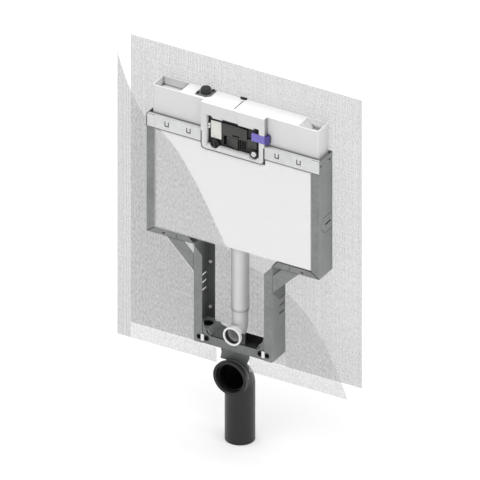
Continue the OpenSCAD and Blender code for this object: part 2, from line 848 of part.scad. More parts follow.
seat_z = floor_z + 3;
basket_top = floor_z + 70;
tube_top = lever_z - 64;

module valve_basket() {
  color("#3d6f9e") difference() {
    union() {
      tube_z(0, pipe_y, spigot_r - 2.5, basket_r + 1.2, floor_z, seat_z);
      tube_z(0, pipe_y, spigot_r - 2.5, spigot_r, spigot_end, floor_z + 1);
      tube_z(0, pipe_y, basket_r - 2, basket_r, seat_z - 1, basket_top);
      tube_z(0, pipe_y, overflow_r + 0.4, basket_r, basket_top - 4, basket_top);
    }
    for (angle = [45, 135]) rotate_about(pipe_y, angle)
      box([-40, pipe_y - 11, seat_z + 8], [40, pipe_y + 11, basket_top - 12]);
  }
}

module overflow_tube() {
  color("#e8e8e4") difference() {
    union() {
      rod_z(0, pipe_y, overflow_r, seat_z + 0.5, tube_top);
      rod_z(0, pipe_y, overflow_r + 5, seat_z + 4, seat_z + 7);
    }
    rod_z(0, pipe_y, overflow_r - 2, seat_z, tube_top + 1);
  }
}

module valve_seal() {
  color("#8a3a34") tube_z(0, pipe_y, overflow_r + 0.05, overflow_r + 6, seat_z + fit, seat_z + 4);
}

module hook(x, y) {
  box([x - 2.2, lever_y + lever_arm - 6, hook_z], [x + 2.2, y + 2, hook_z + hook_h]);
}

module lift_hook() {
  y = pipe_y + overflow_r - 1;
  color("#d9a441") union() {
    rod_z(0, y, 2, tube_top, hook_z + 1);
    hook(0, y);
  }
}

module part_float() {
  y = pipe_y + 10;
  low = basket_top + fit;
  color("#d9a441") difference() {
    union() {
      rod_z(0, pipe_y, basket_r - 1, low, low + 40);
      box([0, y - 5, low + 34], [38.5, y + 5, low + 40]);
      rod_z(36, y, 2, low + 39, hook_z + 1);
      hook(36, y);
    }
    rod_z(0, pipe_y, overflow_r + 0.8, low - 1, low + 41);
  }
}

// Inlet on the tank's top, stop valve and fill valve under it

inlet_x = inlet[0];
inlet_y = inlet[1];
plate_top = tank_top + 3;

module inlet_plate() {
  color("#8d9093") difference() {
    box([inlet_x - 25, inlet_y - 22, tank_top], [inlet_x + 22, inlet_y + 25, plate_top]);
    rod_z(inlet_x, inlet_y, 10.7, tank_top - 1, plate_top + 1);
    translate([inlet_x - 25, inlet_y + 25, tank_top - 1]) rotate([0, 0, 45]) cube([16, 16, 10], center = true);
    translate([inlet_x + 22, inlet_y - 22, tank_top - 1]) rotate([0, 0, 45]) cube([16, 16, 10], center = true);
  }
}

module inlet_screws() {
  color("#1a1a1a") for (p = [[-19, -15], [15, 18]]) difference() {
    rod_z(inlet_x + p[0], inlet_y + p[1], 4, plate_top, plate_top + 3.5);
    rod_z(inlet_x + p[0], inlet_y + p[1], 1.8, plate_top + 1.5, plate_top + 4);
  }
}

module inlet_fitting() {
  color("#c7a455") tube_z(inlet_x, inlet_y, 7.5, 10.4, stop_z[1], tank_top + 9);
}

module inlet_cap() {
  low = plate_top + fit;
  color("#1b1c1d") difference() {
    union() {
      rod_z(inlet_x, inlet_y, 15, low, low + 14);
      rod_z(inlet_x, inlet_y, 13.5, low + 13, low + 15.5);
    }
    rod_z(inlet_x, inlet_y, 10.8, low - 1, tank_top + 9 + fit);
    for (i = [0:11]) translate([inlet_x, inlet_y, 0]) rotate([0, 0, i * 30]) rod_z(15.8, 0, 1.5, low + 2, low + 16);
  }
}

module stop_valve() {
  mid = (stop_z[0] + stop_z[1]) / 2;
  color("#c7a455") difference() {
    rod_z(inlet_x, inlet_y, 13, stop_z[0], stop_z[1]);
    rod_x(inlet_y, mid, 3 + shaft_fit, inlet_x, inlet_x + 14);
    rod_z(inlet_x, inlet_y, 7.5, stop_z[1] - 4, stop_z[1] + 1);
  }
}

module stop_handle() {
  mid = (stop_z[0] + stop_z[1]) / 2;
  color("#1d1d1d") union() {
    rod_x(inlet_y, mid, 3, inlet_x + 4, inlet_x + 14);
    rod_x(inlet_y, mid, 7, inlet_x + 13 + fit, inlet_x + 19);
    box([inlet_x + 15, inlet_y - 3.5, mid - 19], [inlet_x + 19, inlet_y + 3.5, mid]);
  }
}

module fill_valve() {
  color("#dcdcd8") union() {
    rod_z(inlet_x, inlet_y, 9, float_z[0] - float_travel - 5, head_z[0] + 1);
    rod_z(inlet_x, inlet_y, 14, head_z[0], head_z[1]);
    box([lever_pivot[0] - 6, inlet_y - 14, lever_pivot[1] - 8], [lever_pivot[0] + 6, inlet_y - 3, lever_pivot[1] + 8]);
    rod_y(lever_pivot[0], lever_pivot[1], 2, inlet_y - 20.5, inlet_y - 13);
  }
}

module float() {
  color("#e9e5d8") difference() {
    union() {
      translate([inlet_x, inlet_y, float_z[0]]) linear_extrude(float_z[1] - float_z[0]) rounded(-28, 28, -23.5, 23.5, 6);
      rod_z(float_rod[0], float_rod[1], 1.8, float_z[1] - 1, lever_pivot[1] + 1.8);
      rod_y(float_rod[0], lever_pivot[1], 1.5, float_rod[1], inlet_y - 15.8);
    }
    rod_z(inlet_x, inlet_y, 9.6, float_z[0] - 1, float_z[1] + 1);
  }
}

module float_lever() {
  y0 = inlet_y - 19.5;
  arm = lever_pivot[0] - float_rod[0];
  reach = norm([arm, float_travel]);
  slot_w = 5.2;
  color("#3b3d3f") along_y(y0, y0 + 4) translate(lever_pivot) difference() {
    rounded(-reach - 7, 5, -5, 5, 3);
    circle(2 + shaft_fit);
    translate([-(arm + reach) / 2, 0]) rotate(90) slot_up(slot_w, reach - arm + slot_w + 1);
  }
}

// Plaster nets: a grid of strands, cut along one curve at the front and round the steel

function bezier(p, t) =
  pow(1 - t, 3) * p[0] + 3 * pow(1 - t, 2) * t * p[1] + 3 * (1 - t) * pow(t, 2) * p[2] + pow(t, 3) * p[3];

cut_arcs = [
  [[-392, 890], [-365, 800], [-322, 690], [-255, 662]],
  [[-255, 662], [-165, 620], [-75, 420], [-20, 326]],
  [[-20, 326], [20, 285], [110, 285], [180, 233]],
  [[180, 233], [275, 180], [345, 45], [387, -70]]];
cut_steps = 8;
cut_curve = [for (arc = cut_arcs, i = [0:cut_steps - 1]) bezier(arc, i / cut_steps)];

module behind_cut() {
  polygon(concat([[-net_x - 1, net_top]], cut_curve, [[387, -net_drop - 1], [-net_x - 1, -net_drop - 1]]));
}

module strands(x0, x1, z0, z1) {
  for (x = [-net_x + strand / 2:net_pitch:net_x]) if (x > x0 - strand && x < x1 + strand)
    translate([x - strand / 2, z0]) square([strand, z1 - z0]);
  for (z = [-net_drop + strand / 2:net_pitch:net_top]) if (z > z0 - strand && z < z1 + strand)
    translate([x0, z - strand / 2]) square([x1 - x0, strand]);
}

module net_panel(x0, x1, z0, z1) {
  intersection() {
    translate([x0, z0]) square([x1 - x0, z1 - z0]);
    union() {
      strands(x0, x1, z0, z1);
      difference() {
        translate([x0, z0]) square([x1 - x0, z1 - z0]);
        translate([x0 + strand, z0 + strand]) square([x1 - x0 - 2 * strand, z1 - z0 - 2 * strand]);
      }
    }
  }
}

module net_rear() {
  color("#d2d2d0") along_y(frame_depth + fit, frame_depth + fit + net_thick)
    net_panel(-net_x, net_x, -net_drop, net_top);
}

module front_net() {
  color("#d2d2d0") along_y(net_front_y, net_front_y + net_thick) intersection() {
    behind_cut();
    children();
  }
}

module brace_room() {
  x = leg_x + brace_reach + net_clear;
  polygon([[leg_x - 1, wing_z + 1], [x, wing_z + 1], [x, wing_z - 6], [leg_x - 1, wing_z - brace_reach - 8]]);
}

module net_side(set_back) {
  difference() {
    union() {
      net_panel(frame_x + net_clear, net_x, wing_z - net_clear - strand, net_top);
      net_panel(leg_x + net_clear + set_back, net_x, -net_drop, wing_z - net_clear);
    }
    brace_room();
  }
}

module net_front_left() {
  front_net() mirror([1, 0]) net_side(0);
}

module net_front_right() {
  front_net() net_side(net_set_back);
}

module net_front_centre() {
  x = frame_x - post_lip - 0.5 - net_clear;
  neck = lip_x - net_clear;
  low = flush_z + collar_r + 3;
  front_net() union() {
    net_panel(-x, x, wing_top + net_clear, frame_top - rail_h - net_clear);
    net_panel(net_set_back - neck, pipe_strip[0], low, wing_top + 1);
    net_panel(pipe_strip[1], neck, low, wing_top + 1);
  }
}

// Panel under a leg, which joins the side panel and runs up to the waste socket
module net_foot(set_back) {
  x0 = socket_r + socket_wall + socket_flange + pass;
  net_panel(x0, leg_x + net_clear + set_back, -net_drop, -leg_drop - net_clear);
}

module net_foot_left() {
  front_net() mirror([1, 0]) net_foot(0);
}

module net_foot_right() {
  front_net() net_foot(net_set_back);
}

channel(-1);  // channel_left
channel(1);  // channel_right
brace(-1);  // brace_left
brace(1);  // brace_right
front_rail(-1);  // front_rail_left
front_rail(1);  // front_rail_right
wc_beam();
foot_plate(-1);  // foot_plate_left
foot_plate(1);  // foot_plate_right
wall_bolts();
stud_nuts();
stud_clips();
waste_bracket();
waste_saddle();
waste_bend();
waste_seal();
flush_bend();
flush_pipe();
flush_sleeve();
flush_collar();
flush_seal();
elbow_bracket();
outlet_nut();
pipe_seal();
tank_body();
insulation_panel();
inspection_box();
seam_clip();
carrier_plate();
bridge_cover();
label_card();
card_clip();
guard_knob();
lock_screw();
lever_pin();
lever_full();
lever_part();
lock_slide();
slide_grip();
valve_basket();
overflow_tube();
valve_seal();
lift_hook();
part_float();
inlet_fitting();
inlet_plate();
inlet_screws();
inlet_cap();
stop_valve();
stop_handle();
fill_valve();
float();
float_lever();
net_rear();
net_front_left();
net_front_centre();
net_front_right();
net_foot_left();
net_foot_right();
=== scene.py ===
import json
import math
import random

import bmesh
import bpy
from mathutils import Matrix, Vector


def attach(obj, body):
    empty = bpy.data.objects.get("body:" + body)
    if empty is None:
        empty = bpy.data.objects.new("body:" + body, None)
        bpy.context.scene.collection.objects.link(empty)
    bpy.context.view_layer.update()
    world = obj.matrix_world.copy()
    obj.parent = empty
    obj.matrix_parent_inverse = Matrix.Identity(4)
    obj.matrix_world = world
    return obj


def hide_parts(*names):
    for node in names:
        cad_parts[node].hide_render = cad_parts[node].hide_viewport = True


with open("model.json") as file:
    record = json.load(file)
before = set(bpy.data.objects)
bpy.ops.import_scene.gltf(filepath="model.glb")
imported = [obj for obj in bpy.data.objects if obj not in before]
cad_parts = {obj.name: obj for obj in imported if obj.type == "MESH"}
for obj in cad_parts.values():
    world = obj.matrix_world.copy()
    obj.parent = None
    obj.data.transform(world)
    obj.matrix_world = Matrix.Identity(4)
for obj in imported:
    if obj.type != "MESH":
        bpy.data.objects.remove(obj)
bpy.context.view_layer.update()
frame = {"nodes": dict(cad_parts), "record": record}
MM = 0.001
FAR = 1  # metres, past every end of the part

# Camera: parallel view from the front right, 30 degrees round and 30 degrees up

AZIMUTH = 30
ELEVATION = 30
AIM = Vector((0.0009, 0.040, 0.3388))
VIEW_WIDTH = 1.4035
CAMERA_DISTANCE = 5
CLIP_END = 30


def add_object(name, data):
    item = bpy.data.objects.new(name, data)
    bpy.context.scene.collection.objects.link(item)
    return item


def face_part(item, azimuth, elevation, distance):
    """Puts a camera or a light that far from the part, turned towards it; angles in degrees."""
    a, e = math.radians(azimuth), math.radians(elevation)
    out = Vector((math.cos(e) * math.sin(a), -math.cos(e) * math.cos(a), math.sin(e)))
    item.location = AIM + out * distance
    item.rotation_euler = out.to_track_quat("Z", "Y").to_euler()


camera_data = bpy.data.cameras.new("camera")
camera_data.type = "ORTHO"
camera_data.ortho_scale = VIEW_WIDTH
camera_data.clip_end = CLIP_END
camera = add_object("camera", camera_data)
face_part(camera, AZIMUTH, ELEVATION, CAMERA_DISTANCE)
bpy.context.scene.camera = camera
bpy.context.scene.view_settings.view_transform = "Standard"


# Materials. A place is in metres: X to the right, Y back, Z up.

SOFT_EDGE = 0.0003  # half the width over which a painted edge fades
FRONT_SHEET = 0.0024  # Y to which a face belongs to the front of the steel
RAIL_TOP = 0.7
LEG_INSIDE = 0.1312
LEG_FACE = (0.1322, 0.14)
LEG_TOP = 0.3
POST_FACE = (0.2912, 0.3)
CHANNEL_HOLLOW = (FRONT_SHEET, 0.0768)
HOLLOW_SHADE_SPAN = (0.01, 0.07)
SOCKET_DEPTH = 0.03
SEAM_HALF = 0.0014

# Tones, as factors of a piece's colour

DULL_TONE = 0.86
WEB_LIGHT_TONE = 1.22
SEAM_TONE = 0.2
RIM_SHADOW_TONE = 0.1
BORE_SHADE_TONE = 0.3

SPECULAR = 0.35  # of moulded plastic


class Graph:
    """A material's nodes, with a short call for each kind that is used."""

    def __init__(self, name):
        self.material = bpy.data.materials.new(name)
        self.material.use_nodes = True
        self.tree = self.material.node_tree
        self.tree.nodes.clear()
        self.shader = self.tree.nodes.new("ShaderNodeBsdfPrincipled")
        output = self.tree.nodes.new("ShaderNodeOutputMaterial")
        self.link(self.shader.outputs["BSDF"], output.inputs["Surface"])
        self.place = self.tree.nodes.new("ShaderNodeTexCoord").outputs["Object"]

    def link(self, source, target):
        self.tree.links.new(source, target)

    def feed(self, value, socket):
        """Links a node's output to the socket, or sets the socket to a number or colour."""
        if isinstance(value, bpy.types.NodeSocket):
            self.link(value, socket)
        elif isinstance(value, tuple):
            socket.default_value = (*value, 1)
        else:
            socket.default_value = value

    def noise(self, size, detail, stretch=(1, 1, 1)):
        """Noise with features of that size in metres."""
        mapping = self.tree.nodes.new("ShaderNodeMapping")
        mapping.inputs["Scale"].default_value = stretch
        self.link(self.place, mapping.inputs["Vector"])
        node = self.tree.nodes.new("ShaderNodeTexNoise")
        node.inputs["Scale"].default_value = 1 / size
        node.inputs["Detail"].default_value = detail
        self.link(mapping.outputs["Vector"], node.inputs["Vector"])
        return node.outputs["Fac"]

    def cells(self, size, feature="F1", output="Distance"):
        """Cells of that size in metres."""
        node = self.tree.nodes.new("ShaderNodeTexVoronoi")
        node.feature = feature
        node.inputs["Scale"].default_value = 1 / size
        self.link(self.place, node.inputs["Vector"])
        return node.outputs[output]

    def remap(self, value, low, high, to_low, to_high):
        node = self.tree.nodes.new("ShaderNodeMapRange")
        node.inputs["From Min"].default_value = low
        node.inputs["From Max"].default_value = high
        node.inputs["To Min"].default_value = to_low
        node.inputs["To Max"].default_value = to_high
        self.link(value, node.inputs["Value"])
        return node.outputs["Result"]

    def mix(self, factor, a, b):
        """Colour a where the factor is 0, and b where it is 1."""
        node = self.tree.nodes.new("ShaderNodeMix")
        node.data_type = "RGBA"
        self.link(factor, node.inputs["Factor"])
        for value, name in ((a, "A"), (b, "B")):
            self.feed(value, next(s for s in node.inputs if s.name == name and s.type == "RGBA"))
        return next(s for s in node.outputs if s.type == "RGBA")

    def near_corners(self, reach):
        """1 on open surfaces, falling towards 0 within reach of an inner corner."""
        node = self.tree.nodes.new("ShaderNodeAmbientOcclusion")
        node.samples = 8
        node.inputs["Distance"].default_value = reach
        return node.outputs["AO"]

    def math(self, operation, a, b=0.0):
        node = self.tree.nodes.new("ShaderNodeMath")
        node.operation = operation
        for value, socket in zip((a, b), node.inputs):
            self.feed(value, socket)
        return node.outputs["Value"]

    def both(self, a, b):
        return self.math("MULTIPLY", a, b)

    def length(self, a, b):
        return self.math("SQRT", self.math("ADD", self.both(a, a), self.both(b, b)))

    def axis(self, name):
        node = self.tree.nodes.new("ShaderNodeSeparateXYZ")
        self.link(self.place, node.inputs["Vector"])
        return node.outputs[name]

    def aside(self):
        """Distance from the middle plane, to either side."""
        return self.math("ABSOLUTE", self.axis("X"))

    def between(self, value, low, high):
        """1 where the value lies between low and high, 0 elsewhere."""
        rise = self.remap(value, low - SOFT_EDGE, low + SOFT_EDGE, 0, 1)
        fall = self.remap(value, high - SOFT_EDGE, high + SOFT_EDGE, 1, 0)
        return self.both(rise, fall)

    def box(self, spans):
        """1 where each named place lies in its span; X counts to both sides, X+ to the right."""
        mask = None
        for name, low, high in spans:
            value = self.aside() if name == "X" else self.axis(name[0])
            inside = self.between(value, low, high)
            mask = inside if mask is None else self.both(mask, inside)
        return mask

    def near_edge(self, half, low, radius, width):
        """1 within that width of the edge of a front whose lower corners are rounded."""
        beside = self.math("SUBTRACT", self.aside(), half - radius)
        below = self.math("SUBTRACT", low + radius, self.axis("Z"))
        across, down = (self.math("MAXIMUM", value, 0.0) for value in (beside, below))
        return self.between(self.length(across, down), radius - width, FAR)

    def near_axis(self, height, radius):
        """1 within that radius of a front-to-back axis at that height over the origin."""
        rise = self.math("SUBTRACT", self.axis("Z"), height)
        return self.between(self.length(self.axis("X"), rise), -FAR, radius)

    def near_line(self, start, end, width):
        """1 within that width of the line through two places (|X|, Z)."""
        along = Vector(end) - Vector(start)
        normal = Vector((-along.y, along.x)).normalized()
        x = self.math("MULTIPLY", self.aside(), normal.x)
        z = self.math("MULTIPLY", self.axis("Z"), normal.y)
        offset = self.math("SUBTRACT", self.math("ADD", x, z), normal.dot(Vector(start)))
        return self.between(offset, -width, width)

    def outer_web(self):
        """1 on the outer faces of the two side channels, 0 elsewhere."""
        leg = self.box([("X", *LEG_FACE), ("Z", -FAR, LEG_TOP)])
        return self.math("MAXIMUM", leg, self.box([("X", *POST_FACE)]))

    def bump(self, *layers):
        """Adds (height, depth in metres) layers to the surface's normal."""
        normal = None
        for height, depth in layers:
            node = self.tree.nodes.new("ShaderNodeBump")
            node.inputs["Distance"].default_value = depth
            self.link(height, node.inputs["Height"])
            if normal is not None:
                self.link(normal, node.inputs["Normal"])
            normal = node.outputs["Normal"]
        self.link(normal, self.shader.inputs["Normal"])

    def finish(self, color, rough, metallic=0.0):
        self.feed(color, self.shader.inputs["Base Color"])
        self.feed(rough, self.shader.inputs["Roughness"])
        self.feed(metallic, self.shader.inputs["Metallic"])
        return self.material


def shade(color, factor):
    return tuple(min(1.0, c * factor) for c in color)


def corner_shaded(g, tone, color, reach, depth=0.35):
    """Painted shade in the inner corners, within reach of them and down to that depth."""
    return g.mix(g.remap(g.near_corners(reach), 0.35, 0.85, 0, 1), shade(color, depth), tone)


def patched(g, tone, color, patches):
    """Darker or lighter boxes of the piece: (factor, (axis, low, high), ...)."""
    for factor, *spans in patches:
        tone = g.mix(g.box(spans), tone, shade(color, factor))
    return tone


def galvanised(name, color, spread=0.12, metallic=0.4, inside=None, patches=(), seam=None):
    """Zinc-coated sheet: flat crystals, a faint rolling grain and dull places.

    inside holds the tones of the shade painted in the hollow at its front and its back, and seam
    the two ends of a seam on the front, as (|X|, Z).
    """
    g = Graph(name)
    crystals = g.cells(0.009, output="Color")
    dull = g.noise(0.06, 3)
    grain = g.noise(0.0012, 2, (1, 1, 0.08))
    tone = g.mix(crystals, shade(color, 1 - spread), shade(color, 1 + spread))
    tone = g.mix(g.remap(dull, 0.35, 0.7, 0, 0.5), tone, shade(color, DULL_TONE))
    # Painted shade in the steel's inner corners
    tone = corner_shaded(g, tone, color, 0.006)
    # Painted shade in the hollow, darker towards its back
    if inside:
        hollow = g.box([("X", -FAR, LEG_INSIDE), ("Y", *CHANNEL_HOLLOW)])
        depth = g.remap(g.axis("Y"), *HOLLOW_SHADE_SPAN, 0, 1)
        tone = g.mix(hollow, tone, g.mix(depth, *(shade(color, factor) for factor in inside)))
    tone = patched(g, tone, color, patches)
    # Painted light on the outer faces of the side channels
    if inside:
        tone = g.mix(g.outer_web(), tone, shade(color, WEB_LIGHT_TONE))
    if seam:
        line = g.both(g.near_line(*seam, SEAM_HALF), g.box([("Y", -FAR, FRONT_SHEET)]))
        tone = g.mix(line, tone, shade(color, SEAM_TONE))
    g.bump((grain, 0.00006), (g.noise(0.02, 2), 0.0004))
    return g.finish(tone, g.remap(dull, 0.3, 0.7, 0.42, 0.62), metallic)


def moulded(name, color, rough, grain, depth, spread, crease=0.25, reach=0.006, metallic=0.0,
            patches=(), rim=None, socket=None):
    """Moulded plastic or a painted piece: fine grain, a slow change of tone, painted shade in the
    inner corners, boxes painted darker or lighter.

    grain and depth are the size and height of the surface's grain, rim the lower edge that
    Graph.near_edge describes, with a painted shadow along it, and socket the height and radius
    of a bore painted dark as shade.
    """
    g = Graph(name)
    slow = g.noise(0.09, 3)
    fine = g.noise(grain, 3)
    change = g.remap(slow, 0.3, 0.7, 0, 1)
    tone = g.mix(change, shade(color, 1 - spread), shade(color, 1 + spread))
    # Painted shade in the inner corners, as deep as crease
    tone = corner_shaded(g, tone, color, reach, crease)
    tone = patched(g, tone, color, patches)
    # Painted shadow along the lower edge
    if rim:
        edge = g.both(g.near_edge(*rim), g.box([("Z", -FAR, RAIL_TOP)]))
        tone = g.mix(edge, tone, shade(color, RIM_SHADOW_TONE))
    # Painted shade in the bore
    if socket:
        bore = g.both(g.near_axis(*socket), g.box([("Y", -FAR, SOCKET_DEPTH)]))
        tone = g.mix(bore, tone, shade(color, BORE_SHADE_TONE))
    g.bump((fine, depth))
    g.shader.inputs["Specular IOR Level"].default_value = SPECULAR
    return g.finish(tone, g.remap(fine, 0.3, 0.7, rough - 0.06, rough + 0.06), metallic)


def foamed(name, color):
    """Expanded polystyrene: pressed beads with fine joints between them."""
    g = Graph(name)
    joints = g.cells(0.0042, "DISTANCE_TO_EDGE")
    near = g.remap(joints, 0, 0.16, 0, 1)
    tone = g.mix(near, shade(color, 0.93), color)
    tone = g.mix(g.remap(g.noise(0.14, 2), 0.35, 0.75, 0, 0.4), tone, shade(color, 0.97))
    g.bump((near, 0.00025), (g.noise(0.0011, 2), 0.00005))
    return g.finish(tone, 0.86)


def rubbery(name, color):
    g = Graph(name)
    tone = g.mix(g.noise(0.01, 3), shade(color, 0.75), shade(color, 1.3))
    g.bump((g.noise(0.0007, 2), 0.00006))
    return g.finish(tone, 0.78)


def machined(name, color, rough):
    """Turned metal: fine rings and a slight tarnish."""
    g = Graph(name)
    tone = g.mix(g.remap(g.noise(0.012, 4), 0.4, 0.75, 0, 1), color, shade(color, 0.72))
    g.bump((g.noise(0.0006, 2, (0.1, 0.1, 1)), 0.00004))
    wear = g.remap(g.noise(0.004, 3), 0.3, 0.7, rough - 0.08, rough + 0.12)
    return g.finish(tone, wear, 1.0)


def paper(name, color):
    g = Graph(name)
    tone = g.mix(g.noise(0.0008, 4), shade(color, 0.93), shade(color, 1.04))
    g.bump((g.noise(0.0004, 3), 0.00003))
    return g.finish(tone, 0.9)


def fibre(name, color, spread, patches=()):
    """Coated glass yarn: twisted filaments and a resin skin that varies from strand to strand."""
    g = Graph(name)
    streaks = g.noise(0.0034, 2, (1, 1, 0.3))
    twist = g.noise(0.0005, 2, (1, 1, 0.4))
    thin, thick = (
        patched(g, tone, tone, patches)
        for tone in (shade(color, 1 - spread), shade(color, 1 + spread)))
    tone = g.mix(g.remap(streaks, 0.35, 0.65, 0, 1), thin, thick)
    g.bump((twist, 0.00008))
    return g.finish(tone, 0.62)


# Surfaces that several moulded pieces share

TANK_SKIN = {"rough": 0.55, "grain": 0.0011, "depth": 0.00012, "spread": 0.02}
BOX_SKIN = {"rough": 0.45, "grain": 0.0008, "depth": 0.00006, "spread": 0.02}
PIPE_SKIN = {"rough": 0.38, "grain": 0.0012, "depth": 0.00004, "spread": 0.03}
WHITE_SKIN = {"rough": 0.34, "grain": 0.0009, "depth": 0.00004, "spread": 0.02}
BLACK_SKIN = {"rough": 0.42, "grain": 0.0008, "depth": 0.00006, "spread": 0.2}
WASTE_SKIN = {"rough": 0.36, "grain": 0.0014, "depth": 0.00007, "spread": 0.15}
DARK_SKIN = {"rough": 0.42, "grain": 0.0008, "depth": 0.00007, "spread": 0.1, "crease": 0.12}
SLIDE_SKIN = {"rough": 0.3, "grain": 0.0008, "depth": 0.00003, "spread": 0.05}
LEVER_SKIN = {"rough": 0.35, "grain": 0.0009, "depth": 0.00004, "spread": 0.05}
PAINTED_SKIN = {
    "rough": 0.42, "grain": 0.002, "depth": 0.00004, "spread": 0.05, "metallic": 0.3}
BOLT_SKIN = {"rough": 0.3, "grain": 0.001, "depth": 0.00003, "spread": 0.02}

STEEL_GREY = (0.24, 0.248, 0.247)
PIPE_GREY = (0.74, 0.74, 0.74)
WASTE_BLACK = (0.018, 0.018, 0.019)


# Painted shadows along the front rails: in the gaps at their edges, and in the slots round the
# punched hooks

HOOKS = (0.149, 0.2225)


def hook_shadow(middle):
    """Painted shadow, black, in the slot round a hook, and the steel's own colour again on its
    tongue.
    """
    front = ("Y", -FAR, 0.0002)
    slot = (0.1, ("X", middle - 0.0074, middle + 0.0074), ("Z", 0.6768, 0.6932), front)
    tongue = (1.0, ("X", middle - 0.0041, middle + 0.0041), ("Z", 0.6804, 0.6945), front)
    return [slot, tongue]


# Painted shadow lines at the rails' top and bottom edges, at the left rail's end and beside the
# box
RAIL_SHADOWS = [
    (0.3, ("Z", 0.7026, 0.7045), ("Y", 0.0095, 0.02)),
    (0.12, ("Z", 0.6615, 0.6638)),
    (0.1, ("X+", -0.2925, -0.2885)),
    (0.15, ("X", 0.1070, 0.1080)),
    *(patch for middle in HOOKS for patch in hook_shadow(middle)),
]

# One finish for each material slot

FINISHES = {
    "steel": galvanised("steel", STEEL_GREY),
    "rail_steel": galvanised(
        "rail_steel", (0.72, 0.725, 0.725), 0.05, 0.3, patches=RAIL_SHADOWS),
    "dark_steel": moulded("dark_steel", (0.11, 0.114, 0.114), **PAINTED_SKIN),
    "zinc": machined("zinc", (0.78, 0.77, 0.74), 0.25),
    "tank_plastic": moulded("tank_plastic", (0.79, 0.79, 0.785), **TANK_SKIN),
    "foam": foamed("foam", (0.93, 0.93, 0.93)),
    "box_plastic": moulded("box_plastic", (0.74, 0.74, 0.735), **BOX_SKIN),
    "pipe_plastic": moulded("pipe_plastic", PIPE_GREY, **PIPE_SKIN),
    "white_plastic": moulded("white_plastic", (0.86, 0.86, 0.85), **WHITE_SKIN),
    "black_plastic": moulded("black_plastic", (0.014, 0.014, 0.015), **BLACK_SKIN),
    "waste_plastic": moulded("waste_plastic", WASTE_BLACK, **WASTE_SKIN),
    "dark_plastic": moulded("dark_plastic", (0.055, 0.054, 0.05), **DARK_SKIN),
    "seal_rubber": rubbery("seal_rubber", (0.012, 0.012, 0.012)),
    "valve_rubber": rubbery("valve_rubber", (0.25, 0.05, 0.04)),
    "slide_plastic": moulded("slide_plastic", (0.21, 0.175, 0.58), **SLIDE_SKIN),
    "grip_plastic": moulded("grip_plastic", (0.07, 0.05, 0.26), **SLIDE_SKIN),
    "blue_plastic": moulded("blue_plastic", (0.05, 0.15, 0.32), **LEVER_SKIN),
    "amber_plastic": moulded("amber_plastic", (0.68, 0.37, 0.06), **LEVER_SKIN),
    "card": paper("card", (0.85, 0.84, 0.8)),
    "brass": machined("brass", (0.62, 0.42, 0.13), 0.28),
    "net_mesh": fibre("net_mesh", (0.44, 0.44, 0.44), 0.26),
}

# The front net is lighter over the panel, painted light against the shade its strands cast on the
# foam, and darker in the strip at the far left

FRONT_NET = fibre("front_net", (0.68, 0.68, 0.68), 0.24, [
    (1.13, ("X", -FAR, 0.2645), ("Z", 0.326, 0.665)),
    (0.52, ("X+", -0.4, -0.345)),
])

# Pieces whose finish differs from that of their slot in places

# Tones of the shade painted in the channels' and the beam's hollows, at the front and at the back
CHANNEL_HOLLOW_SHADE = (1.0, 0.74)
BEAM_HOLLOW_SHADE = (0.6, 0.34)
MITRE = ((0.2645, 0.326), (0.2895, 0.309))
TOP_FACE = ("Z", 0.7962, 0.80)
TOP_SEAM = (0.05, ("X", -FAR, 0.0015), ("Z", 0.796, 0.80), ("Y", 0.008, 0.062))
# Painted light on the right pocket's rear wall and on the top face, painted shade low at the back
# of that pocket, and a dark seam along the top's middle
TANK_PATCHES = [
    (1.3, ("X+", 0.212, 0.275), ("Y", 0.0715, 0.0765), ("Z", 0.779, 0.7962)),
    (0.4, ("X+", 0.228, 0.274), ("Y", 0.0635, 0.0725), ("Z", 0.76, 0.771)),
    (1.27, TOP_FACE),
    TOP_SEAM,
]
# Painted shade on the box's right side, painted light on its top face, and the same seam along the
# top
BOX_PATCHES = [
    (0.5, ("X+", 0.1064, 0.108), ("Z", 0.6, 0.7958), ("Y", -0.0005, 0.03)),
    (1.32, TOP_FACE),
    TOP_SEAM,
]
# Painted shadow along the box's lower edge, where it meets the panel
BOX_RIM_SHADOW = (0.107, 0.641, 0.015, 0.0034)
